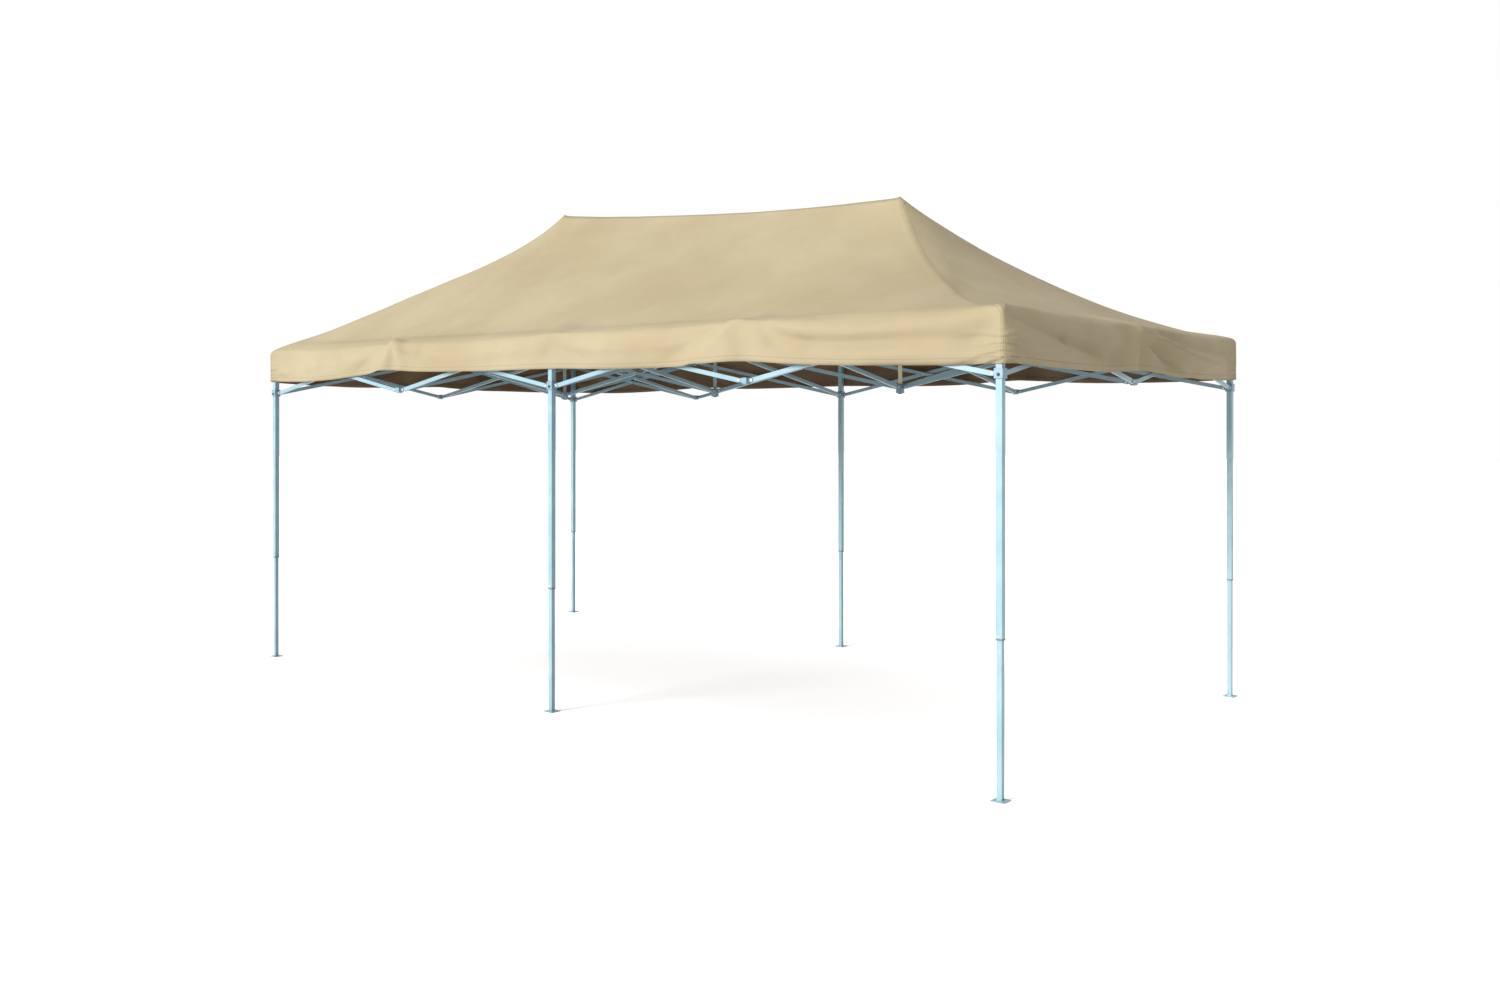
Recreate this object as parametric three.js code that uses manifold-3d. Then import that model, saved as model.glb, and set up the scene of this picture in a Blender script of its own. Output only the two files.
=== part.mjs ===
// Pop-up canopy, 6 m by 3 m: six telescopic legs, a grid of scissor trusses that folds like a
// concertina both ways, three posts that drop as it folds, and a one-piece cloth roof with a valance.
// Millimetres, +Z up. The origin is on the ground, under the middle of the roof.
import * as THREE from "three";
import { mergeVertices } from "three/addons/utils/BufferGeometryUtils.js";
import Module from "manifold-3d";

// Driving dimensions of the frame. Every truss unit spans one bay between two nodes of the grid.
const BAY = 1500;
const UPPER_PIN_Z = 2235;
const LOWER_PIN_Z = 1950;
const PIN_OFFSET = 38; // from a node's centre to its pins
const BAR_PLANE = 7; // the two bars of a unit lie this far to either side of the run's middle

// Truss bars: rectangular steel tube.
const BAR_HEIGHT = 24;
const BAR_WIDTH = 12;
const BAR_WALL = 0.8;
const BAR_OVERHANG = 8; // beyond the end pins
const PIN_RADIUS = 3;
const PIN_HOLE_RADIUS = 4;
const RIVET_HEAD_RADIUS = 6;
const RIVET_HEAD_THICKNESS = 1.5;
const PIN_SIDES = 6;

// Forks, which hold the ends of the bars.
const EAR_THICKNESS = 3;
const EAR_HALF_HEIGHT = 11;
const EAR_GAP = 0.5; // between an ear and its bar
const EAR_REACH = 10; // beyond the pin

// Legs: square steel tube sliding in square steel tube.
const LEG_SIDE = 32;
const LEG_WALL = 1.2;
const LEG_BOTTOM_Z = 740;
const LEG_CAP_SIDE = 44;
const LEG_CAP_BOTTOM_Z = UPPER_PIN_Z - 25;
const LEG_CAP_TOP_Z = UPPER_PIN_Z + 15;
const FOOT_TUBE_SIDE = 26;
const FOOT_TUBE_TOP_Z = 1000;
const FOOT_PLATE_SIDE = 70;
const FOOT_PLATE_THICKNESS = 4;
const PEG_HOLE_RADIUS = 4;
const PEG_HOLE_OFFSET = 25; // from the middle of the plate, both ways

// Sliders, which run on the legs.
const SLIDER_SIDE = 44;
const SLIDER_CLEARANCE = 0.6;
const SLIDER_HALF_HEIGHT = 24;

// Posts, which stand on the lower hubs and carry the two peaks of the roof.
const POST_RADIUS = 12.5;
const POST_WALL = 1.5;
const POST_SIDES = 12;
const POST_HUB_SIDE = 36;
const POST_HUB_BELOW_PIN = 40;
const POST_HUB_ABOVE_PIN = 15;
const POST_CAP_RADIUS = 25;
const POST_CAP_THICKNESS = 12;
const POST_CAP_BELOW_ROOF = 30;
const MIDDLE_POST_TOP_Z = 2420;

// Roof: a cloth shell with a hanging valance.
const ROOF_HALF_LENGTH = 3030;
const ROOF_HALF_WIDTH = 1530;
const EAVE_Z = 2262;
const VALANCE_BOTTOM_Z = 2002;
const LEFT_PEAK_Z = 3305;
const RIGHT_PEAK_Z = 3120;
const RIDGE_SAG = 60;
// How far the cloth hangs below the straight line from peak to eave: 1 is straight, and more is lower.
const MIDDLE_CURVE = 1.2; // straight down from a peak
const LEFT_HIP = { straight: 0.86, curve: 8 }; // share of the fall that is straight, curve of the rest
const FRONT_RIGHT_HIP = { straight: 0.35, curve: 3.2 };
const BACK_RIGHT_HIP = { straight: 0.5, curve: 2.6 };
const END_HIP_PULL = 0.6; // how far the middle of an end follows its hips
const CLOTH = 1.5;
const END_CELLS = 4;
const RIDGE_CELLS = 6;

const SPAN = BAY - 2 * PIN_OFFSET;
const RISE = UPPER_PIN_Z - LOWER_PIN_Z;
const BAR_LENGTH = Math.hypot(SPAN, RISE);
const BAR_ANGLE = Math.atan2(RISE, SPAN);
const NODE_MIDDLE_Z = (UPPER_PIN_Z + LOWER_PIN_Z) / 2;

const lightBlue = new THREE.MeshStandardMaterial({ color: 0x9fd3e3, roughness: 0.45, metalness: 0.3 });
const hubBlue = new THREE.MeshStandardMaterial({ color: 0x8fc6d9, roughness: 0.55, metalness: 0.1 });
const cream = new THREE.MeshStandardMaterial({ color: 0xd9cdb0, roughness: 0.5, metalness: 0.2 });
const beigeCloth = new THREE.MeshStandardMaterial({ color: 0xd8c898, roughness: 0.9, metalness: 0 });

const wasm = await Module();
wasm.setup();
const canopy = new THREE.Group();

// Solids: a geometry as a manifold, and back.
function solid(geometry) {
  const plain = geometry.clone();
  plain.deleteAttribute("normal");
  plain.deleteAttribute("uv");
  const merged = mergeVertices(plain, 1e-4);
  return new wasm.Manifold(
    new wasm.Mesh({
      numProp: 3,
      vertProperties: new Float32Array(merged.attributes.position.array),
      triVerts: new Uint32Array(merged.index.array),
    }),
  );
}

function geometryOf(manifold) {
  const mesh = manifold.getMesh();
  const geometry = new THREE.BufferGeometry();
  geometry.setAttribute("position", new THREE.BufferAttribute(mesh.vertProperties, 3));
  geometry.setIndex(new THREE.BufferAttribute(mesh.triVerts, 1));
  geometry.computeVertexNormals();
  return geometry;
}

function union(solids) {
  return solids.reduce((sum, next) => sum.add(next));
}

// A box between two corners.
function box(low, high) {
  const geometry = new THREE.BoxGeometry(high[0] - low[0], high[1] - low[1], high[2] - low[2]);
  geometry.translate((low[0] + high[0]) / 2, (low[1] + high[1]) / 2, (low[2] + high[2]) / 2);
  return solid(geometry);
}

// An upright square block or tube on the Z axis.
function block(side, bottom, top) {
  return box([-side / 2, -side / 2, bottom], [side / 2, side / 2, top]);
}

// A cylinder along Y, from one y to another.
function pin(x, z, radius, fromY, toY) {
  const geometry = new THREE.CylinderGeometry(radius, radius, toY - fromY, PIN_SIDES);
  geometry.translate(x, (fromY + toY) / 2, z);
  return solid(geometry);
}

function upright(radius, bottom, top) {
  const geometry = new THREE.CylinderGeometry(radius, radius, top - bottom, POST_SIDES);
  geometry.rotateX(Math.PI / 2);
  geometry.translate(0, 0, (bottom + top) / 2);
  return solid(geometry);
}

// A fork on the node's centre, in a run along X. It points along toward (1 or -1) and holds the end of the
// rising bar (its plane is at +y) or of the falling bar (at -y), by a pin at height z.
function fork(toward, z, rising) {
  const plane = rising ? BAR_PLANE : -BAR_PLANE;
  const earMiddle = BAR_WIDTH / 2 + EAR_GAP + EAR_THICKNESS / 2;
  const near = toward * (LEG_SIDE / 2 - 2);
  const far = toward * (PIN_OFFSET + EAR_REACH);
  const ears = [-1, 1].map((side) => {
    const y = plane + side * earMiddle;
    return box(
      [Math.min(near, far), y - EAR_THICKNESS / 2, z - EAR_HALF_HEIGHT],
      [Math.max(near, far), y + EAR_THICKNESS / 2, z + EAR_HALF_HEIGHT],
    );
  });
  const reach = earMiddle + EAR_THICKNESS / 2 + 1;
  return union([...ears, pin(toward * PIN_OFFSET, z, PIN_RADIUS, plane - reach, plane + reach)]);
}

// The forks of a node at one level. At the upper level a bar that leaves toward +X falls, and at the lower
// level it rises. Directions are [1, 0] and [-1, 0] along a row, and [0, 1] and [0, -1] along a column.
function forks(directions, upper) {
  return directions.map(([alongRow, alongColumn]) => {
    const toward = alongRow || alongColumn;
    const rising = upper ? toward < 0 : toward > 0;
    const one = fork(toward, upper ? UPPER_PIN_Z : LOWER_PIN_Z, rising);
    return alongRow ? one : one.rotate([0, 0, 90]);
  });
}

function add(name, geometry, material, position = [0, 0, 0]) {
  const mesh = new THREE.Mesh(geometry, material);
  mesh.name = name;
  mesh.position.set(...position);
  canopy.add(mesh);
  return mesh;
}

// Truss bars.
function barTube() {
  const outline = (width, height) => [
    new THREE.Vector2(-width / 2, -height / 2),
    new THREE.Vector2(width / 2, -height / 2),
    new THREE.Vector2(width / 2, height / 2),
    new THREE.Vector2(-width / 2, height / 2),
  ];
  const section = new THREE.Shape(outline(BAR_HEIGHT, BAR_WIDTH));
  section.holes.push(new THREE.Path(outline(BAR_HEIGHT - 2 * BAR_WALL, BAR_WIDTH - 2 * BAR_WALL)));
  const length = BAR_LENGTH + 2 * BAR_OVERHANG;
  const geometry = new THREE.ExtrudeGeometry(section, { depth: length, bevelEnabled: false });
  geometry.translate(0, 0, -length / 2);
  geometry.rotateY(Math.PI / 2);
  return solid(geometry);
}

function drill(bar, x) {
  return bar.subtract(pin(x, 0, PIN_HOLE_RADIUS, -BAR_WIDTH, BAR_WIDTH));
}

function risingBar() {
  const drilled = drill(drill(barTube(), -BAR_LENGTH / 2), BAR_LENGTH / 2);
  const farFace = -2 * BAR_PLANE - BAR_WIDTH / 2; // of the falling bar, as seen from the rising one
  const head = farFace - EAR_GAP;
  return union([
    drilled,
    pin(0, 0, PIN_RADIUS, head - RIVET_HEAD_THICKNESS, BAR_WIDTH / 2 + 1),
    pin(0, 0, RIVET_HEAD_RADIUS, head - RIVET_HEAD_THICKNESS, head),
    pin(0, 0, RIVET_HEAD_RADIUS, BAR_WIDTH / 2 - BAR_WALL, BAR_WIDTH / 2 + RIVET_HEAD_THICKNESS),
  ]);
}

function fallingBar() {
  return [-BAR_LENGTH / 2, 0, BAR_LENGTH / 2].reduce(drill, barTube());
}

const risingGeometry = geometryOf(risingBar());
const fallingGeometry = geometryOf(fallingBar());

// A run of truss units along X from its own origin, turned to lie along Y where it is a column.
function addRun(name, start, units, column) {
  const run = new THREE.Group();
  run.position.set(start[0], start[1], NODE_MIDDLE_Z);
  run.rotation.z = column ? Math.PI / 2 : 0;
  canopy.add(run);
  for (let unit = 1; unit <= units; unit++) {
    for (const rising of [true, false]) {
      const bar = new THREE.Mesh(rising ? risingGeometry : fallingGeometry, lightBlue);
      bar.name = `bar_${name}_${unit}_${rising ? "rising" : "falling"}`;
      bar.position.set((unit - 0.5) * BAY, rising ? BAR_PLANE : -BAR_PLANE, 0);
      bar.rotation.y = rising ? -BAR_ANGLE : BAR_ANGLE;
      run.add(bar);
    }
  }
}

addRun("front", [-2 * BAY, -BAY], 4, false);
addRun("centre", [-2 * BAY, 0], 4, false);
addRun("back", [-2 * BAY, BAY], 4, false);
addRun("left", [-2 * BAY, -BAY], 2, true);
addRun("middle", [0, -BAY], 2, true);
addRun("right", [2 * BAY, -BAY], 2, true);

// Legs, with a cap and forks at the top, the foot tube inside, and the slider on the outside.
function legTube(directions) {
  const bore = block(LEG_SIDE - 2 * LEG_WALL, LEG_BOTTOM_Z - 1, LEG_CAP_BOTTOM_Z);
  return union([
    block(LEG_SIDE, LEG_BOTTOM_Z, LEG_CAP_TOP_Z - 5),
    block(LEG_CAP_SIDE, LEG_CAP_BOTTOM_Z, LEG_CAP_TOP_Z),
    ...forks(directions, true),
  ]).subtract(bore);
}

function footTube() {
  const bore = block(FOOT_TUBE_SIDE - 2 * LEG_WALL, FOOT_PLATE_THICKNESS, FOOT_TUBE_TOP_Z + 1);
  const pegHole = upright(PEG_HOLE_RADIUS, -1, FOOT_PLATE_THICKNESS + 1);
  return union([
    block(FOOT_TUBE_SIDE, 0, FOOT_TUBE_TOP_Z),
    block(FOOT_PLATE_SIDE, 0, FOOT_PLATE_THICKNESS),
  ])
    .subtract(bore)
    .subtract(pegHole.translate([PEG_HOLE_OFFSET, PEG_HOLE_OFFSET, 0]))
    .subtract(pegHole.translate([-PEG_HOLE_OFFSET, -PEG_HOLE_OFFSET, 0]));
}

function slider(directions) {
  const low = LOWER_PIN_Z - SLIDER_HALF_HEIGHT;
  const high = LOWER_PIN_Z + SLIDER_HALF_HEIGHT;
  return union([block(SLIDER_SIDE, low, high), ...forks(directions, false)]).subtract(
    block(LEG_SIDE + 2 * SLIDER_CLEARANCE, low - 1, high + 1),
  );
}

const COLUMNS = [["left", -2 * BAY], ["middle", 0], ["right", 2 * BAY]];
for (const [rowName, y] of [["front", -BAY], ["back", BAY]]) {
  for (const [columnName, x] of COLUMNS) {
    const directions = [[0, -Math.sign(y)]];
    if (x < 2 * BAY) directions.push([1, 0]);
    if (x > -2 * BAY) directions.push([-1, 0]);
    const place = `${rowName}_${columnName}`;
    add(`leg_tube_${place}`, geometryOf(legTube(directions)), lightBlue, [x, y, 0]);
    add(`foot_tube_${place}`, geometryOf(footTube()), lightBlue, [x, y, 0]);
    add(`slider_${place}`, geometryOf(slider(directions)), hubBlue, [x, y, 0]);
  }
}

// Posts on the centre row, each standing on its lower hub.
const ALL_WAYS = [[1, 0], [-1, 0], [0, 1], [0, -1]];

function post(top, hasCap) {
  const hubBottom = LOWER_PIN_Z - POST_HUB_BELOW_PIN;
  const hubTop = LOWER_PIN_Z + POST_HUB_ABOVE_PIN;
  const pieces = [
    upright(POST_RADIUS, hubBottom, top),
    block(POST_HUB_SIDE, hubBottom, hubTop),
    ...forks(ALL_WAYS, false),
  ];
  if (hasCap) pieces.push(upright(POST_CAP_RADIUS, top - POST_CAP_THICKNESS, top));
  const boreTop = hasCap ? top - POST_CAP_THICKNESS : top + 1;
  return union(pieces).subtract(upright(POST_RADIUS - POST_WALL, hubBottom - 1, boreTop));
}

add("post_left", geometryOf(post(LEFT_PEAK_Z - POST_CAP_BELOW_ROOF, true)), lightBlue, [-BAY, 0, 0]);
add("post_middle", geometryOf(post(MIDDLE_POST_TOP_Z, false)), lightBlue, [0, 0, 0]);
add("post_right", geometryOf(post(RIGHT_PEAK_Z - POST_CAP_BELOW_ROOF, true)), cream, [BAY, 0, 0]);

// Upper hubs in the middle of the two short sides.
function endHub(inward) {
  const body = block(POST_HUB_SIDE, UPPER_PIN_Z - 15, LEG_CAP_TOP_Z);
  return union([body, ...forks([[inward, 0], [0, 1], [0, -1]], true)]);
}

add("end_hub_left", geometryOf(endHub(1)), hubBlue, [-2 * BAY, 0, 0]);
add("end_hub_right", geometryOf(endHub(-1)), hubBlue, [2 * BAY, 0, 0]);

// Roof cloth: a height over the ground plan, which falls from the ridge to the eaves on all four sides.
function ridgeZ(x) {
  const along = THREE.MathUtils.clamp(x / BAY, -1, 1);
  return THREE.MathUtils.lerp(LEFT_PEAK_Z, RIGHT_PEAK_Z, (along + 1) / 2) - RIDGE_SAG * (1 - along * along);
}

// The share of a peak's height left on a hip, where left falls from 1 at the peak to 0 at the corner.
function hipShare(hip, left) {
  return hip.straight * left + (1 - hip.straight) * Math.pow(left, hip.curve);
}

function roofZ(x, y) {
  const { lerp, smoothstep } = THREE.MathUtils;
  const acrossSide = Math.abs(y) / ROOF_HALF_WIDTH;
  const acrossEnd = Math.max(0, Math.abs(x) - BAY) / (ROOF_HALF_LENGTH - BAY);
  const down = Math.max(acrossSide, acrossEnd);
  const left = Math.max(0, 1 - down);
  const towardsBack = down > 0 ? smoothstep(y / (down * ROOF_HALF_WIDTH), -1, 1) : 0.5;
  const rightHip = lerp(hipShare(FRONT_RIGHT_HIP, left), hipShare(BACK_RIGHT_HIP, left), towardsBack);
  const onHip = x < 0 ? hipShare(LEFT_HIP, left) : rightHip;
  let hipPull = Math.pow(Math.abs(x) / (BAY + down * (ROOF_HALF_LENGTH - BAY)), 3);
  if (acrossEnd > acrossSide) {
    hipPull = lerp(END_HIP_PULL, 1, Math.pow(acrossSide / down, 2));
  }
  return EAVE_Z + (ridgeZ(x) - EAVE_Z) * lerp(Math.pow(left, MIDDLE_CURVE), onHip, hipPull);
}

// Stations along one side: END_CELLS in each end bay and RIDGE_CELLS between the peaks.
function stations() {
  const places = [];
  for (let i = 0; i < END_CELLS; i++) {
    places.push(THREE.MathUtils.lerp(-ROOF_HALF_LENGTH, -BAY, i / END_CELLS));
  }
  for (let i = 0; i < RIDGE_CELLS; i++) {
    places.push(THREE.MathUtils.lerp(-BAY, BAY, i / RIDGE_CELLS));
  }
  for (let i = 0; i <= END_CELLS; i++) {
    places.push(THREE.MathUtils.lerp(BAY, ROOF_HALF_LENGTH, i / END_CELLS));
  }
  return places;
}

function roofCloth() {
  const xs = stations();
  const ys = Array.from({ length: 2 * END_CELLS + 1 }, (_, j) => (j / END_CELLS - 1) * ROOF_HALF_WIDTH);
  const lastX = xs.length - 1;
  const lastY = ys.length - 1;
  const vertices = [];
  const faces = [];
  const sheets = [0, CLOTH].map((inset) =>
    xs.map((x) =>
      ys.map((y) => {
        const shrunkX = x * (1 - inset / ROOF_HALF_LENGTH);
        const shrunkY = y * (1 - inset / ROOF_HALF_WIDTH);
        return vertices.push([shrunkX, shrunkY, roofZ(x, y) - inset]) - 1;
      }),
    ),
  );
  const quad = (a, b, c, d, flip) => {
    faces.push(...(flip ? [a, c, b, a, d, c] : [a, b, c, a, c, d]));
  };
  sheets.forEach((sheet, under) => {
    for (let i = 0; i < lastX; i++) {
      for (let j = 0; j < lastY; j++) {
        const corners = [sheet[i][j], sheet[i + 1][j], sheet[i + 1][j + 1], sheet[i][j + 1]];
        const hipRises = (xs[i] + xs[i + 1]) * (ys[j] + ys[j + 1]) > 0;
        if (!hipRises) corners.push(corners.shift());
        quad(...corners, under === 1);
      }
    }
  });
  const around = [];
  for (let i = 0; i < lastX; i++) around.push([i, 0]);
  for (let j = 0; j < lastY; j++) around.push([lastX, j]);
  for (let i = lastX; i > 0; i--) around.push([i, lastY]);
  for (let j = lastY; j > 0; j--) around.push([0, j]);
  const hems = sheets.map((sheet) =>
    around.map(([i, j]) => {
      const [x, y] = vertices[sheet[i][j]];
      return vertices.push([x, y, VALANCE_BOTTOM_Z]) - 1;
    }),
  );
  around.forEach(([i, j], k) => {
    const next = (k + 1) % around.length;
    const [nextI, nextJ] = around[next];
    sheets.forEach((sheet, inner) => {
      const hem = hems[inner];
      quad(hem[k], hem[next], sheet[nextI][nextJ], sheet[i][j], inner === 1);
    });
    quad(hems[1][k], hems[1][next], hems[0][next], hems[0][k], false);
  });
  const geometry = new THREE.BufferGeometry();
  geometry.setAttribute("position", new THREE.Float32BufferAttribute(vertices.flat(), 3));
  geometry.setIndex(faces);
  geometry.computeVertexNormals();
  return geometry;
}

add("canopy_cloth", roofCloth(), beigeCloth);

export default canopy;
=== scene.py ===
"""The looks of the pop-up canopy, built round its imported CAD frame. Metres, +Z up, row frame."""

import math

import bmesh
import bpy
import numpy as np
from mathutils import Matrix, Vector, noise


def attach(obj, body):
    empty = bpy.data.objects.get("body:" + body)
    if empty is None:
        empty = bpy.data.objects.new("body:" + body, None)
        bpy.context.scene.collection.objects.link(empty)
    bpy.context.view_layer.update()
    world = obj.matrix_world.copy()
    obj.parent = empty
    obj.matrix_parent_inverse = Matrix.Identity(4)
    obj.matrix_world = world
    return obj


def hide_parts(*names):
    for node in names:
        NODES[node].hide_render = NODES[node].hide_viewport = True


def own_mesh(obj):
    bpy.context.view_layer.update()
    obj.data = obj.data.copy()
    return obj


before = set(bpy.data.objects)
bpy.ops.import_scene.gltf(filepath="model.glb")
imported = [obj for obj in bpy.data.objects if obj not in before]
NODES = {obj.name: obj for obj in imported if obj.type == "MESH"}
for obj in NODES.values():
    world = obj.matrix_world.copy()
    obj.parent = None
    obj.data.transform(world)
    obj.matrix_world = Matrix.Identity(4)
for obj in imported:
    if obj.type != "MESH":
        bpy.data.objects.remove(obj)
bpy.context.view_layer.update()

# The frame's layout, as in the CAD.
BAY = 1.5
UPPER_Z = 2.235
LOWER_Z = 1.950
LEG_TOP_Z = 2.250
LEG_TUBE_END_Z = 0.740  # the lower end of the outer leg tube, where the inner leg comes out
PIN_OFFSET = 0.038
BAR_PLANE = 0.007
BAR_LENGTH = math.hypot(BAY - 2 * PIN_OFFSET, UPPER_Z - LOWER_Z)
BAR_OVERHANG = 0.008
BAR_SIZE = (0.024, 0.012)
FORK_REACH = (0.014, 0.048)  # from a hub's middle to the near and far end of its fork plates
FORK_GAP = 0.008  # from a bar's middle plane to the middle of the plate beside it
FORK_PLATE = 0.003
FORK_HEIGHT = 0.022
PIN_RADIUS = 0.003
PIN_HALF = 0.0095
RIVET_HEAD = 0.0034
FOLDED_SHIFT = 1.33074  # how far one node of the grid moves towards the next as the frame folds
FOLDED_DROP = 1.16421  # how far the lower nodes drop

# The roof cloth.
HALF_LENGTH = 3.03
HALF_WIDTH = 1.53
EAVE_Z = 2.262
VALANCE_DROP = 0.26
LEFT_PEAK_Z = 3.305
RIGHT_PEAK_Z = 3.120
RIDGE_SAG = 0.045
MIDDLE_CURVE = 1.2
LEFT_HIP = (0.86, 8.0)  # share of the fall that is straight, and the curve of the rest
FRONT_RIGHT_HIP = (0.35, 3.2)
BACK_RIGHT_HIP = (0.50, 2.6)
END_HIP_PULL = 0.6  # how far the middle of an end follows its hips
CLOTH_THICKNESS = 0.0012
TINY = 1e-6  # how near two places are to count as the same
HALF_CELLS = 30
RIDGE_CELLS = 58
VALANCE_ROWS = 6
SETTLING_FRAMES = 25


# ---------------------------------------------------------------- materials


class Nodes:
    """A material's node tree, with short calls that add and join nodes."""

    def __init__(self, name):
        self.material = bpy.data.materials.new(name)
        self.material.use_nodes = True
        self.tree = self.material.node_tree
        self.shader = self.tree.nodes["Principled BSDF"]
        self.output = self.tree.nodes["Material Output"]

    def add(self, kind, **settings):
        node = self.tree.nodes.new(kind)
        for key, value in settings.items():
            if key in node.inputs:
                if isinstance(value, bpy.types.NodeSocket):
                    self.tree.links.new(value, node.inputs[key])
                else:
                    node.inputs[key].default_value = value
            else:
                setattr(node, key, value)
        return node

    def math(self, operation, a, b=0.0, c=0.0):
        node = self.tree.nodes.new("ShaderNodeMath")
        node.operation = operation
        for socket, value in zip(node.inputs, (a, b, c)):
            if isinstance(value, bpy.types.NodeSocket):
                self.tree.links.new(value, socket)
            else:
                socket.default_value = value
        return node.outputs[0]

    def mix(self, factor, a, b):
        node = self.tree.nodes.new("ShaderNodeMix")
        node.data_type = "RGBA"
        for socket, value in zip((node.inputs[0], node.inputs[6], node.inputs[7]), (factor, a, b)):
            if isinstance(value, bpy.types.NodeSocket):
                self.tree.links.new(value, socket)
            else:
                socket.default_value = value
        return node.outputs[2]

    def ramp(self, value, low, high, start=0.0, end=1.0):
        node = self.add("ShaderNodeMapRange", Value=value)
        for key, number in (("From Min", low), ("From Max", high), ("To Min", start), ("To Max", end)):
            node.inputs[key].default_value = number
        return node.outputs[0]

    def place(self):
        return self.add("ShaderNodeTexCoord").outputs["Object"]

    def noise(self, scale, detail=3.0, roughness=0.55, at=None):
        node = self.add("ShaderNodeTexNoise", Vector=at or self.place(), Scale=scale)
        node.inputs["Detail"].default_value = detail
        node.inputs["Roughness"].default_value = roughness
        return node.outputs["Fac"]

    def bump(self, height, distance, strength=1.0, normal=None):
        node = self.add("ShaderNodeBump", Height=height, Distance=distance, Strength=strength)
        if normal is not None:
            self.tree.links.new(normal, node.inputs["Normal"])
        return node.outputs["Normal"]

    def set(self, **inputs):
        for key, value in inputs.items():
            socket = self.shader.inputs[key.replace("_", " ")]
            if isinstance(value, bpy.types.NodeSocket):
                self.tree.links.new(value, socket)
            else:
                socket.default_value = value
        return self.material


def linear(*rgb):
    """A linear colour with alpha from 0-255 display values."""
    values = [c / 255 for c in rgb]
    values = [c / 12.92 if c <= 0.04045 else ((c + 0.055) / 1.055) ** 2.4 for c in values]
    return (*values, 1.0)


def powder_coat(name, colour, worn, deep):
    """Satin powder coat on steel tube: orange peel, faint mottling, dust, and rubbed edges."""
    n = Nodes(name)
    mottle = n.noise(7.0, 4.0)
    peel = n.noise(650.0, 2.0)
    scuffs = n.ramp(n.noise(38.0, 6.0, 0.7), 0.60, 0.68)
    soft = n.add("ShaderNodeBevel", samples=4, Radius=0.0016).outputs[0]
    flat = n.add("ShaderNodeNewGeometry").outputs["Normal"]
    facing = n.add("ShaderNodeVectorMath", operation="DOT_PRODUCT")
    n.tree.links.new(soft, facing.inputs[0])
    n.tree.links.new(flat, facing.inputs[1])
    edge = n.ramp(facing.outputs["Value"], 0.985, 0.90)
    rubbed = n.math("MULTIPLY", edge, n.ramp(n.noise(55.0, 4.0), 0.46, 0.62))
    base = n.mix(n.ramp(mottle, 0.35, 0.70), colour, deep)
    base = n.mix(n.math("MULTIPLY", scuffs, 0.25), base, worn)
    base = n.mix(n.math("MULTIPLY", rubbed, 0.75), base, worn)
    rough = n.ramp(n.noise(24.0, 5.0), 0.3, 0.7, 0.34, 0.50)
    return n.set(
        Base_Color=base,
        Roughness=rough,
        Metallic=0.0,
        Coat_Weight=0.25,
        Coat_Roughness=0.22,
        Normal=n.bump(peel, 0.00006, 0.5, soft),
    )


def zinc(name):
    """Bright zinc plate on rivets and washers, with a brushed, slightly spotty face."""
    n = Nodes(name)
    spots = n.ramp(n.noise(420.0, 5.0, 0.7), 0.4, 0.7)
    base = n.mix(spots, (0.62, 0.63, 0.64, 1), (0.36, 0.37, 0.38, 1))
    rough = n.ramp(n.noise(900.0, 3.0), 0.3, 0.7, 0.24, 0.42)
    return n.set(Base_Color=base, Metallic=1.0, Roughness=rough, Normal=n.bump(spots, 0.00004, 0.6))


def moulded(name, colour, light):
    """Moulded plastic with a fine spark texture and whitened, handled patches."""
    n = Nodes(name)
    grain = n.noise(1400.0, 2.0)
    patches = n.ramp(n.noise(30.0, 5.0, 0.65), 0.50, 0.72)
    base = n.mix(n.math("MULTIPLY", patches, 0.35), colour, light)
    rough = n.ramp(n.noise(60.0, 3.0), 0.3, 0.7, 0.48, 0.66)
    return n.set(Base_Color=base, Roughness=rough, Normal=n.bump(grain, 0.00008, 0.6))


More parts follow.
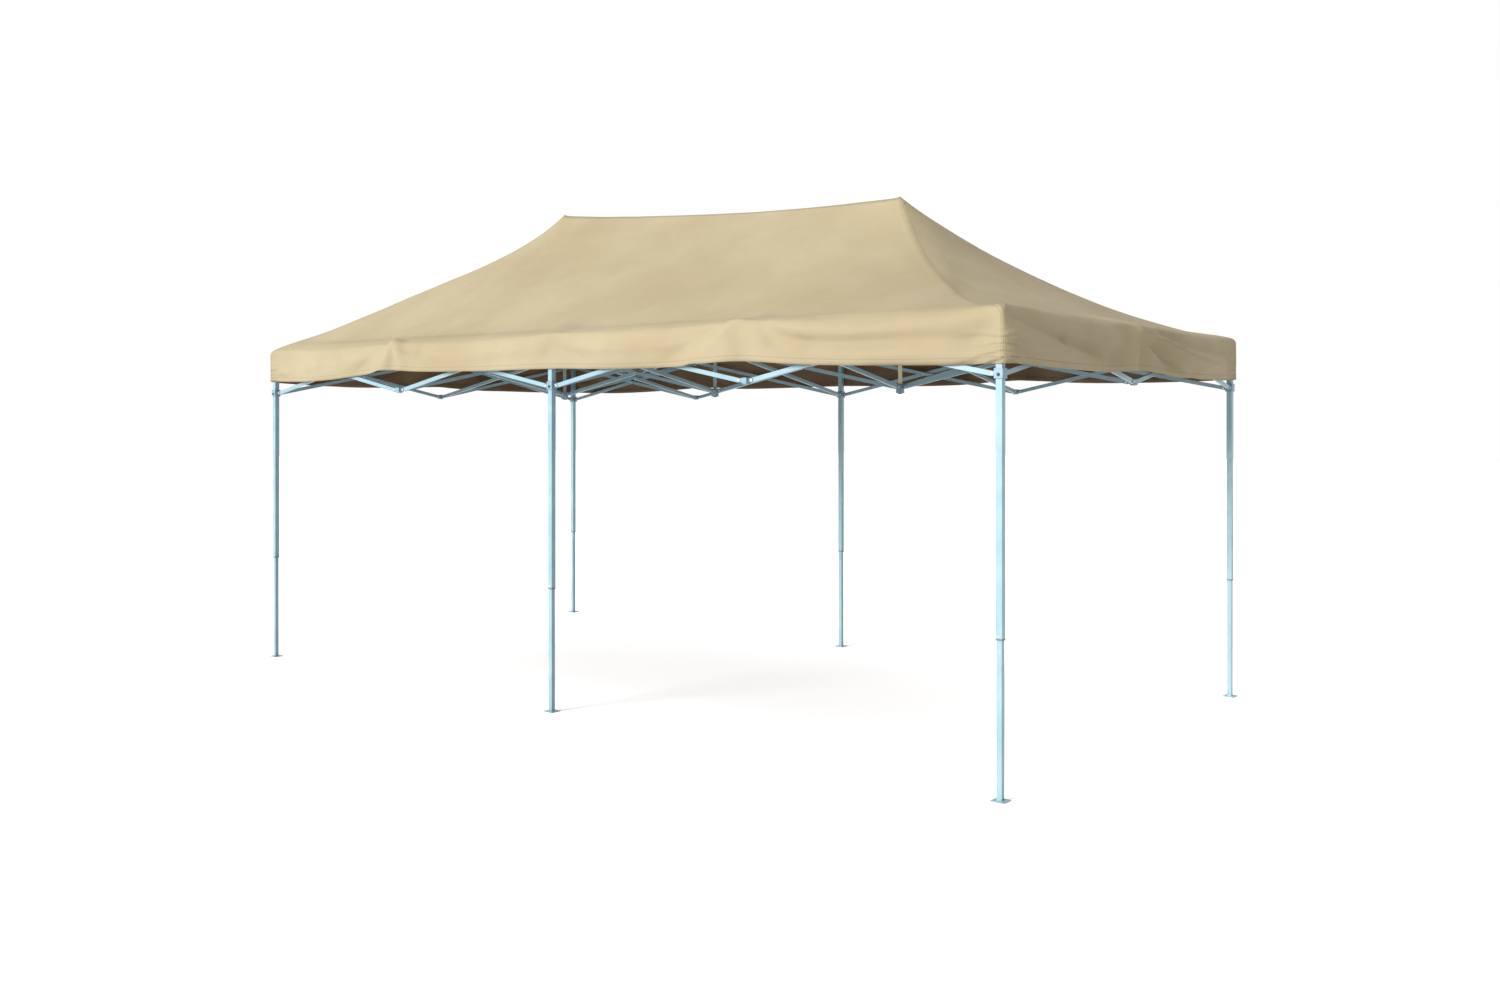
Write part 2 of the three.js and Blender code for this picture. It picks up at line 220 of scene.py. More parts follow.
def woven(name, colour, deep, sheen, through):
    """Coated polyester in plain weave. UVs are in metres; seam, hem and thread come from the mesh."""
    n = Nodes(name)
    uv = n.add("ShaderNodeUVMap", uv_map="cloth").outputs[0]
    split = n.add("ShaderNodeSeparateXYZ", Vector=uv)
    across, along = split.outputs[0], split.outputs[1]
    pitch = 2 * math.pi / 0.0022
    warp = n.math("SINE", n.math("MULTIPLY", across, pitch))
    weft = n.math("SINE", n.math("MULTIPLY", along, pitch))
    weave = n.math("MULTIPLY", warp, weft)
    slub = n.add("ShaderNodeMapping", Vector=uv, Scale=(14.0, 900.0, 1.0)).outputs[0]
    slub = n.noise(1.0, 3.0, 0.6, slub)
    crumple = n.noise(9.0, 6.0, 0.62)
    fine = n.noise(46.0, 4.0, 0.6)
    broad = n.noise(1.3, 3.0, 0.5)

    seam = n.add("ShaderNodeAttribute", attribute_name="seam").outputs["Fac"]
    hem = n.add("ShaderNodeAttribute", attribute_name="hem").outputs["Fac"]
    run = n.add("ShaderNodeAttribute", attribute_name="run").outputs["Fac"]
    dash = n.ramp(n.math("SINE", n.math("MULTIPLY", run, 2 * math.pi / 0.009)), -0.2, 0.1)

    def line(distance, centre, half):
        off = n.math("ABSOLUTE", n.math("SUBTRACT", distance, centre))
        return n.ramp(off, half, half * 0.4)

    stitches = n.math("MAXIMUM", line(seam, 0.004, 0.0011), line(seam, 0.011, 0.0011))
    stitches = n.math("MAXIMUM", stitches, line(hem, 0.028, 0.0012))
    stitches = n.math("MAXIMUM", stitches, line(hem, 0.004, 0.0012))
    stitches = n.math("MULTIPLY", stitches, dash)
    welt = n.math("MAXIMUM", n.ramp(seam, 0.015, 0.013), n.ramp(hem, 0.031, 0.029))
    # Dark lines along the seam, the welt's edge and the hem's edge: painted shade in these recesses.
    recess_shade = n.math("MAXIMUM", line(seam, 0.0, 0.0016), line(seam, 0.0145, 0.0012))
    recess_shade = n.math("MAXIMUM", recess_shade, line(hem, 0.0305, 0.0012))

    base = n.mix(n.ramp(broad, 0.35, 0.68), colour, deep)
    base = n.mix(n.math("MULTIPLY", n.ramp(crumple, 0.35, 0.75), 0.22), base, deep)
    base = n.mix(n.math("MULTIPLY", n.ramp(slub, 0.5, 0.9), 0.18), base, deep)
    base = n.mix(n.math("MULTIPLY", n.ramp(weave, 0.2, -1.0), 0.16), base, deep)
    base = n.mix(n.math("MULTIPLY", welt, 0.12), base, deep)
    base = n.mix(n.math("MULTIPLY", recess_shade, 0.55), base, tuple(c * 0.35 for c in deep[:3]) + (1,))
    thread = tuple(min(1.0, c * 1.12) for c in colour[:3]) + (1,)
    base = n.mix(n.math("MULTIPLY", stitches, 0.8), base, thread)

    pucker = n.math("MULTIPLY", n.noise(52.0, 3.0), n.ramp(seam, 0.045, 0.004))
    tug = n.add("ShaderNodeAttribute", attribute_name="tug").outputs["Fac"]
    phase = n.add("ShaderNodeAttribute", attribute_name="phase").outputs["Fac"]
    phase = n.math("ADD", phase, n.math("MULTIPLY", n.noise(7.0, 3.0), 7.0))
    wrinkles = n.math("MULTIPLY", n.math("SINE", phase), tug)
    normal = n.bump(crumple, 0.006, 0.35)
    normal = n.bump(pucker, 0.004, 0.7, normal)
    normal = n.bump(wrinkles, 0.0042, 1.0, normal)
    normal = n.bump(fine, 0.0012, 0.35, normal)
    normal = n.bump(welt, 0.0009, 0.9, normal)
    normal = n.bump(stitches, 0.0006, 0.9, normal)
    normal = n.bump(weave, 0.00022, 0.5, normal)
    rough = n.ramp(crumple, 0.3, 0.7, 0.72, 0.86)
    n.set(
        Base_Color=base,
        Roughness=rough,
        Normal=normal,
        Sheen_Weight=sheen,
        Sheen_Roughness=0.45,
        Specular_IOR_Level=0.10,
    )
    glow = n.add("ShaderNodeBsdfTranslucent", Color=base, Normal=normal)
    both = n.add("ShaderNodeMixShader", Fac=through)
    n.tree.links.new(n.shader.outputs[0], both.inputs[1])
    n.tree.links.new(glow.outputs[0], both.inputs[2])
    n.tree.links.new(both.outputs[0], n.output.inputs["Surface"])
    return n.material


BLUE = powder_coat("frame_blue", linear(109, 136, 144), linear(156, 174, 180), linear(97, 126, 136))
HUB_BLUE = powder_coat("hub_blue", linear(95, 123, 134), linear(138, 160, 168), linear(84, 113, 126))
CREAM = powder_coat("post_cream", linear(182, 172, 147), linear(200, 192, 172), linear(168, 157, 130))
BLACK = moulded("plug_black", linear(30, 32, 34), linear(86, 88, 90))
GREY = moulded("bush_grey", linear(70, 78, 84), linear(120, 126, 130))
ZINC = zinc("zinc_plate")
CLOTH = woven("cloth_outside", linear(137, 127, 103), linear(127, 116, 91), 0.02, 0.03)
# The inside of the cloth gets a darker brown than the outside. This is painted shade: it stands in for the
# shade under the roof, because the real underside is the same beige as the outside.
LINING_PAINTED_SHADE = woven("cloth_inside_painted_shade", linear(104, 86, 66), linear(84, 68, 50), 0.02, 0.03)

for name, node in NODES.items():
    node.data.materials.clear()
    if name.startswith(("slider", "end_hub")):
        node.data.materials.append(HUB_BLUE)
    elif name == "post_right":
        node.data.materials.append(CREAM)
        node.data.materials.append(HUB_BLUE)
        for face in node.data.polygons:
            if (node.matrix_world @ face.center).z < LOWER_Z + 0.024:
                face.material_index = 1
    else:
        node.data.materials.append(BLUE)


# ---------------------------------------------------------------- small parts


def piece(name, bm, materials, body, smooth=False):
    """The bmesh as a named object that rides on a body."""
    mesh = bpy.data.meshes.new(name)
    bmesh.ops.recalc_face_normals(bm, faces=bm.faces)
    bm.to_mesh(mesh)
    bm.free()
    for material in materials:
        mesh.materials.append(material)
    made = bpy.data.objects.new(name, mesh)
    bpy.context.scene.collection.objects.link(made)
    if smooth:
        mesh.shade_smooth()
    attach(made, body)
    return made


def add_box(bm, low, high, bevel=0.0, matrix=Matrix.Identity(4)):
    """A box with rounded edges. Each is made on its own, which keeps its vertex order the same every run."""
    box = bmesh.new()
    bmesh.ops.create_cube(box, size=1.0)
    size = Vector(high) - Vector(low)
    centre = (Vector(high) + Vector(low)) / 2
    for vertex in box.verts:
        vertex.co = Vector((vertex.co.x * size.x, vertex.co.y * size.y, vertex.co.z * size.z)) + centre
    if bevel:
        bmesh.ops.bevel(box, geom=box.edges[:], offset=bevel, segments=2, affect="EDGES", profile=0.5)
    bmesh.ops.transform(box, matrix=matrix, verts=box.verts[:])
    mesh = bpy.data.meshes.new("box")
    box.to_mesh(mesh)
    box.free()
    bm.from_mesh(mesh)
    bpy.data.meshes.remove(mesh)


def add_turned(bm, profile, sides, matrix, material=0):
    """A solid of revolution about its own Z. profile is a list of (radius, z), from bottom to top."""
    rings = []
    for radius, z in profile:
        angles = [2 * math.pi * k / sides for k in range(sides)]
        points = [Vector((radius * math.cos(a), radius * math.sin(a), z)) for a in angles]
        rings.append([bm.verts.new(matrix @ p) for p in points])
    faces = [bm.faces.new(list(reversed(rings[0]))), bm.faces.new(rings[-1])]
    for lower, upper in zip(rings, rings[1:]):
        for k in range(sides):
            m = (k + 1) % sides
            faces.append(bm.faces.new([lower[k], lower[m], upper[m], upper[k]]))
    for face in faces:
        face.material_index = material


def add_ring(bm, outer, inner, low, high, matrix):
    """A square ring on Z: outer and inner are half widths."""
    levels = []
    for half in (outer, inner):
        for z in (low, high):
            corners = [(-half, -half), (half, -half), (half, half), (-half, half)]
            levels.append([bm.verts.new(matrix @ Vector((x, y, z))) for x, y in corners])
    for a, b in ((0, 1), (3, 2), (2, 0), (1, 3)):
        lower, upper = levels[a], levels[b]
        for k in range(4):
            m = (k + 1) % 4
            bm.faces.new([lower[k], lower[m], upper[m], upper[k]])


def move_with_fold(made, shift):
    """Gives a piece its own copy of its mesh; shift, the slide it would take on top of its body's own motion
    as the frame folds from rest to flat, is not used.
    """
    shift = Vector(shift)
    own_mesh(made)


def aim(direction):
    """A turn that takes a part's own Z to the direction."""
    return Vector(direction).to_track_quat("Z", "Y").to_matrix().to_4x4()


def add_rivet_head(bm, at, outward):
    """A domed rivet head on a washer. at is where the washer sits, outward its direction."""
    washer = [(0.0062, 0.0), (0.0062, 0.0009), (0.0046, 0.0010)]
    dome = [(0.0046, RIVET_HEAD * 0.5), (0.0034, RIVET_HEAD * 0.85), (0.0014, RIVET_HEAD)]
    add_turned(bm, washer + dome, 12, Matrix.Translation(at) @ aim(outward), 1)


def fork_heads(bm, x, y, directions, z, upper):
    """Rivet heads on both ends of each fork's pin at a node of the grid."""
    for ax, ay in directions:
        toward = ax or ay
        rising = toward < 0 if upper else toward > 0
        plane = BAR_PLANE if rising else -BAR_PLANE
        for side in (-1, 1):
            off = plane + side * 0.0096
            if ax:
                at, out = (x + toward * PIN_OFFSET, y + off, z), (0, side, 0)
            else:
                at, out = (x - off, y + toward * PIN_OFFSET, z), (-side, 0, 0)
            add_rivet_head(bm, at, out)


def add_fork(bm, x, y, direction, z, upper):
    """A fork with its pin, as on the CAD hubs."""
    ax, ay = direction
    toward = ax or ay
    rising = toward < 0 if upper else toward > 0
    plane = BAR_PLANE if rising else -BAR_PLANE
    near, far = sorted(toward * reach for reach in FORK_REACH)
    low, high = z - FORK_HEIGHT / 2, z + FORK_HEIGHT / 2
    for side in (-1, 1):
        middle = plane + side * FORK_GAP
        left, right = middle - FORK_PLATE / 2, middle + FORK_PLATE / 2
        if ax:
            add_box(bm, (x + near, y + left, low), (x + far, y + right, high), 0.0007)
        else:
            add_box(bm, (x - right, y + near, low), (x - left, y + far, high), 0.0007)
    if ax:
        at, axis = (x + toward * PIN_OFFSET, y + plane, z), "X"
    else:
        at, axis = (x - plane, y + toward * PIN_OFFSET, z), "Y"
    pin = Matrix.Translation(at) @ Matrix.Rotation(math.pi / 2, 4, axis)
    add_turned(bm, [(PIN_RADIUS, -PIN_HALF), (PIN_RADIUS, PIN_HALF)], 12, pin, 1)


def hub(name, x, y, directions, upper, body, shift, bore=None):
    """A hub of the truss that only the looks have: a block or a sliding ring, with its forks."""
    bm = bmesh.new()
    z = UPPER_Z if upper else LOWER_Z
    here = Matrix.Translation((x, y, 0))
    if bore:
        add_ring(bm, 0.020, bore, z - 0.016, z + 0.016, here)
        add_ring(bm, 0.0225, 0.0196, z - 0.019, z - 0.013, here)
    else:
        add_box(bm, (-0.018, -0.018, z - 0.016), (0.018, 0.018, z + 0.013), 0.0025, here)
        add_box(bm, (-0.0145, -0.0145, z - 0.021), (0.0145, 0.0145, z + 0.0145), 0.002, here)
    for direction in directions:
        add_fork(bm, x, y, direction, z, upper)
    fork_heads(bm, x, y, directions, z, upper)
    made = piece(name, bm, [HUB_BLUE, ZINC], body)
    move_with_fold(made, shift)


ROWS = {"front": -BAY, "back": BAY}
COLUMNS = {"left": -2 * BAY, "middle": 0.0, "right": 2 * BAY}
HALF_SIDES = {"left": -BAY, "right": BAY}

# Truss bars of the two cross runs under the peaks: each is a copy of its neighbour in the middle run.
for side, x in HALF_SIDES.items():
    for unit in (1, 2):
        for kind in ("rising", "falling"):
            source = NODES[f"bar_middle_{unit}_{kind}"]
            mesh = source.data.copy()
            mesh.transform(Matrix.Translation((x, 0, 0)))
            copy = bpy.data.objects.new(f"bar_peak_{side}_{unit}_{kind}", mesh)
            bpy.context.scene.collection.objects.link(copy)
            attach(copy, f"bar_middle_{unit}_{kind}")
            move_with_fold(copy, (-math.copysign(FOLDED_SHIFT, x), 0, 0))

# Hubs on the long sides, under the peaks.
for row, y in ROWS.items():
    inward = (0, -1) if y > 0 else (0, 1)
    for side, x in HALF_SIDES.items():
        inwards = (-math.copysign(FOLDED_SHIFT, x), 0, 0)
        ways = [(1, 0), (-1, 0), inward]
        hub(f"side_hub_upper_{row}_{side}", x, y, ways, True, f"leg_tube_{row}_middle", inwards)
        hub(f"side_hub_lower_{row}_{side}", x, y, ways, False, f"slider_{row}_middle", inwards)

# Lower hubs in the middle of the short sides.
for side, x in (("left", -2 * BAY), ("right", 2 * BAY)):
    ways = [(-1 if x > 0 else 1, 0), (0, 1), (0, -1)]
    hub(f"end_hub_lower_{side}", x, 0.0, ways, False, f"end_hub_{side}", (0, 0, -FOLDED_DROP))

# Upper hubs that slide on the posts.
ALL_WAYS = [(1, 0), (-1, 0), (0, 1), (0, -1)]
for side, x in (("left", -BAY), ("middle", 0.0), ("right", BAY)):
    hub(f"post_hub_upper_{side}", x, 0.0, ALL_WAYS, True, f"post_{side}", (0, 0, FOLDED_DROP), bore=0.0132)

# Rivet heads on the CAD forks, caps and bushes on the legs, and the sliders' pull buttons.
for row, y in ROWS.items():
    for column, x in COLUMNS.items():
        ways = [(0, -1 if y > 0 else 1)]
        if x < 2 * BAY:
            ways.append((1, 0))
        if x > -2 * BAY:
            ways.append((-1, 0))
        here = Matrix.Translation((x, y, 0))

        bm = bmesh.new()
        fork_heads(bm, x, y, ways, UPPER_Z, True)
        piece(f"leg_rivets_{row}_{column}", bm, [ZINC, ZINC], f"leg_tube_{row}_{column}")

        bm = bmesh.new()
        add_box(bm, (-0.0205, -0.0205, LEG_TOP_Z + 0.0002), (0.0205, 0.0205, LEG_TOP_Z + 0.0025), 0.001, here)
        piece(f"leg_cap_{row}_{column}", bm, [BLACK], f"leg_tube_{row}_{column}")

        bm = bmesh.new()
        add_ring(bm, 0.0166, 0.0133, LEG_TUBE_END_Z - 0.0070, LEG_TUBE_END_Z - 0.0003, here)
        add_ring(bm, 0.0147, 0.0133, LEG_TUBE_END_Z - 0.0003, LEG_TUBE_END_Z + 0.0300, here)
        piece(f"leg_bush_{row}_{column}", bm, [GREY], f"leg_tube_{row}_{column}")

        side = -1 if y > 0 else 1
        bm = bmesh.new()
        button = Matrix.Translation((x, y - side * 0.016, LEG_TUBE_END_Z + 0.010)) @ aim((0, -side, 0))
        dome = [(0.0062, -0.0004), (0.0062, 0.0006), (0.0044, 0.0009), (0.0040, 0.0030), (0.0020, 0.0042)]
        add_turned(bm, dome, 16, button)
        piece(f"leg_button_{row}_{column}", bm, [ZINC], f"leg_tube_{row}_{column}", smooth=True)

        bm = bmesh.new()
        fork_heads(bm, x, y, ways, LOWER_Z, False)
        pull = Matrix.Translation((x, y - side * 0.0220, LOWER_Z - 0.006)) @ aim((0, -side, 0))
        knob = [(0.0085, 0.0), (0.0085, 0.0018), (0.0060, 0.0022), (0.0060, 0.0060), (0.0048, 0.0072)]
        add_turned(bm, knob, 18, pull, 2)
        add_ring(bm, 0.0226, 0.0206, LOWER_Z - 0.024, LOWER_Z - 0.019, here)
        add_ring(bm, 0.0226, 0.0206, LOWER_Z + 0.019, LOWER_Z + 0.024, here)
        piece(f"slider_fittings_{row}_{column}", bm, [HUB_BLUE, ZINC, BLACK], f"slider_{row}_{column}")

for side, x in (("left", -BAY), ("middle", 0.0), ("right", BAY)):
    bm = bmesh.new()
    fork_heads(bm, x, 0.0, ALL_WAYS, LOWER_Z, False)
    foot = Matrix.Translation((x, 0, LOWER_Z - 0.0445))
    add_turned(bm, [(0.0100, 0.0), (0.0132, 0.0012), (0.0132, 0.0040)], 20, foot, 2)
    piece(f"post_fittings_{side}", bm, [ZINC, ZINC, BLACK], f"post_{side}")

for side, x in (("left", -2 * BAY), ("right", 2 * BAY)):
    bm = bmesh.new()
    fork_heads(bm, x, 0.0, [(-1 if x > 0 else 1, 0), (0, 1), (0, -1)], UPPER_Z, True)
    piece(f"end_hub_rivets_{side}", bm, [ZINC, ZINC], f"end_hub_{side}")


def bar_fittings(name, start, column, unit, rising, body, shift=None):
    """The black end plugs of one truss bar, and its centre rivet's washers where it has them."""
    bm = bmesh.new()
    turn = Matrix.Rotation(math.pi / 2 if column else 0.0, 4, "Z")
    here = Matrix.Translation((start[0], start[1], (UPPER_Z + LOWER_Z) / 2)) @ turn
    angle = math.atan2(UPPER_Z - LOWER_Z, BAY - 2 * PIN_OFFSET)
    here = here @ Matrix.Translation(((unit - 0.5) * BAY, BAR_PLANE if rising else -BAR_PLANE, 0))
    here = here @ Matrix.Rotation(-angle if rising else angle, 4, "Y")
    end = BAR_LENGTH / 2 + BAR_OVERHANG
    height, width = BAR_SIZE
    for side in (-1, 1):
        low, high = sorted((side * (end + 0.0001), side * (end + 0.0026)))
        add_box(bm, (low, -width / 2, -height / 2), (high, width / 2, height / 2), 0.0008, here)
        low, high = sorted((side * (end - 0.0040), side * (end + 0.0010)))
        inner = Vector((0, 0.001, 0.001))
        corner = Vector((0, width / 2, height / 2)) - inner
        add_box(bm, Vector((low, 0, 0)) - corner, Vector((high, 0, 0)) + corner, 0.0, here)
    if rising:
        for y, out in ((0.0076, 1), (-0.0220, -1)):
            head = [(0.0058, 0.0), (0.0050, 0.0010), (0.0030, 0.0019), (0.0010, 0.0022)]
            add_turned(bm, head, 14, here @ Matrix.Translation((0, y, 0)) @ aim((0, out, 0)), 1)
    made = piece(name, bm, [BLACK, ZINC], body)
    if shift:
        move_with_fold(made, shift)


for run, start, units, column in (
    ("front", (-2 * BAY, -BAY), 4, False),
    ("centre", (-2 * BAY, 0.0), 4, False),
    ("back", (-2 * BAY, BAY), 4, False),
    ("left", (-2 * BAY, -BAY), 2, True),
    ("middle", (0.0, -BAY), 2, True),
    ("right", (2 * BAY, -BAY), 2, True),
):
    for unit in range(1, units + 1):
        for kind in ("rising", "falling"):
            body = f"bar_{run}_{unit}_{kind}"
            bar_fittings(f"plugs_{run}_{unit}_{kind}", start, column, unit, kind == "rising", body)

for side, x in HALF_SIDES.items():
    for unit in (1, 2):
        for kind in ("rising", "falling"):
            bar_fittings(
                f"plugs_peak_{side}_{unit}_{kind}",
                (x, -BAY),
                True,
                unit,
                kind == "rising",
                f"bar_middle_{unit}_{kind}",
                (-math.copysign(FOLDED_SHIFT, x), 0, 0),
            )


# ---------------------------------------------------------------- roof cloth


def lerp(a, b, t):
    return a + (b - a) * t


def smooth(t):
    t = min(1.0, max(0.0, t))
    return t * t * (3 - 2 * t)


def ridge_z(x):
    along = min(1.0, max(-1.0, x / BAY))
    return lerp(LEFT_PEAK_Z, RIGHT_PEAK_Z, (along + 1) / 2) - RIDGE_SAG * (1 - along * along)


def hip_share(hip, left):
    """The share of a peak's height left on a hip, where left falls from 1 at the peak to 0 at the corner."""
    return hip[0] * left + (1 - hip[0]) * left ** hip[1]


def roof_z(x, y):
    """The hipped roof. It hangs furthest below the straight line along the hips."""
    across_side = abs(y) / HALF_WIDTH
    across_end = max(0.0, abs(x) - BAY) / (HALF_LENGTH - BAY)
    down = max(across_side, across_end)
    left = max(0.0, 1 - down)
    towards_back = smooth((y / (down * HALF_WIDTH) + 1) / 2) if down > 0 else 0.5
    right_hip = lerp(hip_share(FRONT_RIGHT_HIP, left), hip_share(BACK_RIGHT_HIP, left), towards_back)
    on_hip_line = hip_share(LEFT_HIP, left) if x < 0 else right_hip
    if across_end > across_side:
        hip_pull = lerp(END_HIP_PULL, 1.0, (across_side / down) ** 2)
    else:
        hip_pull = (abs(x) / (BAY + down * (HALF_LENGTH - BAY))) ** 3
    return EAVE_Z + (ridge_z(x) - EAVE_Z) * lerp(left**MIDDLE_CURVE, on_hip_line, hip_pull)


# How low the valance hangs all the way round: (x or y, height) along each side.
FRONT_HEM = [(-3.03, 2.034), (-2.2, 2.056), (-1.62, 2.088), (-1.3, 2.066), (0.0, 2.050)]
FRONT_HEM += [(1.45, 2.052), (2.4, 2.018), (3.03, 1.993)]
BACK_HEM = [(-3.03, 2.010), (-1.5, 2.030), (0.0, 2.016), (1.5, 2.030), (3.03, 2.000)]
RIGHT_HEM = [(-1.53, 1.996), (-0.7, 2.006), (0.0, 2.010), (0.8, 2.004), (1.53, 2.000)]
LEFT_HEM = [(-1.53, 2.030), (0.0, 2.030), (1.53, 2.010)]


def hem_z(x, y):
    if y <= -HALF_WIDTH + TINY:
        table, at = FRONT_HEM, x
    elif y >= HALF_WIDTH - TINY:
        table, at = BACK_HEM, x
    elif x > 0:
        table, at = RIGHT_HEM, y
    else:
        table, at = LEFT_HEM, y
    return float(np.interp(at, [p[0] for p in table], [p[1] for p in table]))


def on_edge(point):
    return abs(point[0]) > HALF_LENGTH - TINY or abs(point[1]) > HALF_WIDTH - TINY


def on_hip(point):
    return abs(point[0]) > BAY - 1e-5 and abs(abs(point[0]) - BAY - abs(point[1])) < 1e-5


def cloth_mesh():
    """The whole cloth as one grid: the roof, and the valance that hangs from its edge."""
    xs = [lerp(-HALF_LENGTH, -BAY, i / HALF_CELLS) for i in range(HALF_CELLS)]
    xs += [lerp(-BAY, BAY, i / RIDGE_CELLS) for i in range(RIDGE_CELLS)]
    xs += [lerp(BAY, HALF_LENGTH, i / HALF_CELLS) for i in range(HALF_CELLS + 1)]
    ys = [lerp(-HALF_WIDTH, HALF_WIDTH, j / (2 * HALF_CELLS)) for j in range(2 * HALF_CELLS + 1)]
    bm = bmesh.new()
    grid = [[bm.verts.new((x, y, roof_z(x, y))) for y in ys] for x in xs]
    last_x, last_y = len(xs) - 1, len(ys) - 1
    for i in range(last_x):
        for j in range(last_y):
            a, b, c, d = grid[i][j], grid[i + 1][j], grid[i + 1][j + 1], grid[i][j + 1]
            if on_hip(a.co) and on_hip(c.co):
                bm.faces.new([a, b, c])
                bm.faces.new([a, c, d])
            elif on_hip(b.co) and on_hip(d.co):
                bm.faces.new([a, b, d])
                bm.faces.new([b, c, d])
            else:
                bm.faces.new([a, b, c, d])
    around = [(i, 0) for i in range(last_x)] + [(last_x, j) for j in range(last_y)]
    around += [(i, last_y) for i in range(last_x, 0, -1)] + [(0, j) for j in range(last_y, 0, -1)]
    above = [grid[i][j] for i, j in around]
    for row in range(1, VALANCE_ROWS + 1):
        below = []
        for i, j in around:
            x, y = xs[i], ys[j]
            below.append(bm.verts.new((x, y, lerp(EAVE_Z, hem_z(x, y), row / VALANCE_ROWS))))
        for k in range(len(around)):
            m = (k + 1) % len(around)
            bm.faces.new([below[k], below[m], above[m], above[k]])
        above = below
    return bm


bm = cloth_mesh()
cloth_data = bpy.data.meshes.new("canopy_sheet")
bm.to_mesh(cloth_data)
bm.free()
rest = np.array([v.co for v in cloth_data.vertices], float)


def broad_folds(points):
    """Broad folds of the hung cloth: side hubs push it out, and it sags and bulges between them."""
    moved = points.copy()
    for k, (x, y, z) in enumerate(points):
        long_side = abs(abs(y) - HALF_WIDTH) < TINY
        short_side = abs(abs(x) - HALF_LENGTH) < TINY
        if not (long_side or short_side):
            continue
        drop = (EAVE_Z - z) / VALANCE_DROP
        if long_side and short_side:
            moved[k, 2] -= 0.008 * (1 - smooth(drop * 4))
            continue
        outward = Vector((0, math.copysign(1, y), 0)) if long_side else Vector((math.copysign(1, x), 0, 0))
        along = x if long_side else y
        nodes = [-3.0, -1.5, 0.0, 1.5, 3.0] if long_side else [-1.5, 0.0, 1.5]
        gap = min(1.0, min(abs(along - p) for p in nodes) / 0.75)
        wave = 0.012 * math.sin(math.pi * drop) + 0.006 * math.sin(2.4 * math.pi * drop)
        belly = math.sin(math.pi * gap / 2) * wave
        push = 0.0
        for p in nodes[1:-1]:
            if abs(p) > 0.1 or short_side:
                facet = 0.05 + 0.30 * drop
                beyond = (abs(along - p) - facet * 0.75) / (facet * 0.55)
                push += 0.017 * (0.35 + 0.65 * drop) * (1 - smooth(beyond))
        wobble = noise.noise(Vector((along * 1.7 + 3.1, drop * 0.9, y + 0.3 * x))) * 0.022 * drop
        bulge = 0.020 if x > HALF_LENGTH - TINY else 0.008
        moved[k] += np.array(outward * (belly + push + wobble + bulge * gap * smooth(drop * 3)))
        sag = 0.034 if x > HALF_LENGTH - TINY and y < 0 else 0.014
        moved[k, 2] -= sag * smooth(gap) * (1 - smooth(drop * 1.3))
        moved[k] -= np.array(outward * 0.010 * smooth(gap * 3) * (1 - smooth(drop * 4)))
    return moved


start = broad_folds(rest)
cloth_data.vertices.foreach_set("co", start.astype(np.float32).ravel())
sheet = bpy.data.objects.new("canopy_sheet", cloth_data)
bpy.context.scene.collection.objects.link(sheet)


def pin_weights(points):
    """1 where the cloth is held: at the peaks, the leg tops, the side hubs and down the corner seams."""
    weights = np.zeros(len(points))
    posts = [(-BAY, 0.0, 0.05), (BAY, 0.0, 0.05)]
    for k, (x, y, z) in enumerate(points):
        at_corner = abs(x) > HALF_LENGTH - 0.03 and abs(y) > HALF_WIDTH - 0.03
        if at_corner:
            weights[k] = 1.0
        for px, py, radius in posts:
            if math.hypot(x - px, y - py) < radius:
                weights[k] = 1.0
        near_edge = abs(y) > HALF_WIDTH - 0.06 and z > EAVE_Z - 0.05
        if near_edge and any(abs(x - p) < 0.05 for p in (-BAY, 0.0, BAY)):
            weights[k] = 1.0
        if abs(x) > HALF_LENGTH - 0.06 and z > EAVE_Z - 0.05 and abs(y) < 0.05:
            weights[k] = 1.0
        if abs(y) > HALF_WIDTH - 0.002 and abs(x) < 0.03 and z < EAVE_Z - 0.19:
            weights[k] = 1.0
    return weights


def hang_cloth(obj):
    """Lets the cloth, cut a little larger than the frame, settle under its weight. Returns the new points."""
    group = obj.vertex_groups.new(name="held")
    for k, weight in enumerate(pin_weights(rest)):
        if weight > 0:
            group.add([k], weight, "REPLACE")
    cloth = obj.modifiers.new("hang", "CLOTH")
    settings = cloth.settings
    settings.quality = 5
    settings.mass = 0.25
    settings.tension_stiffness = 60
    settings.compression_stiffness = 40
    settings.shear_stiffness = 20
    settings.bending_stiffness = 2.5
    settings.tension_damping = 15
    settings.compression_damping = 15
    settings.shear_damping = 15
    settings.air_damping = 5
    settings.vertex_group_mass = "held"
    settings.shrink_min = -0.010
    settings.effector_weights.gravity = 0.25
    cloth.collision_settings.use_collision = False
    cloth.collision_settings.use_self_collision = False
    for step in range(1, SETTLING_FRAMES + 1):
        bpy.context.scene.frame_set(step)
    shown = obj.evaluated_get(bpy.context.evaluated_depsgraph_get())
    settled = np.array([v.co for v in shown.data.vertices], float)
    obj.modifiers.clear()
    obj.vertex_groups.clear()
    bpy.context.scene.frame_set(1)
    return settled


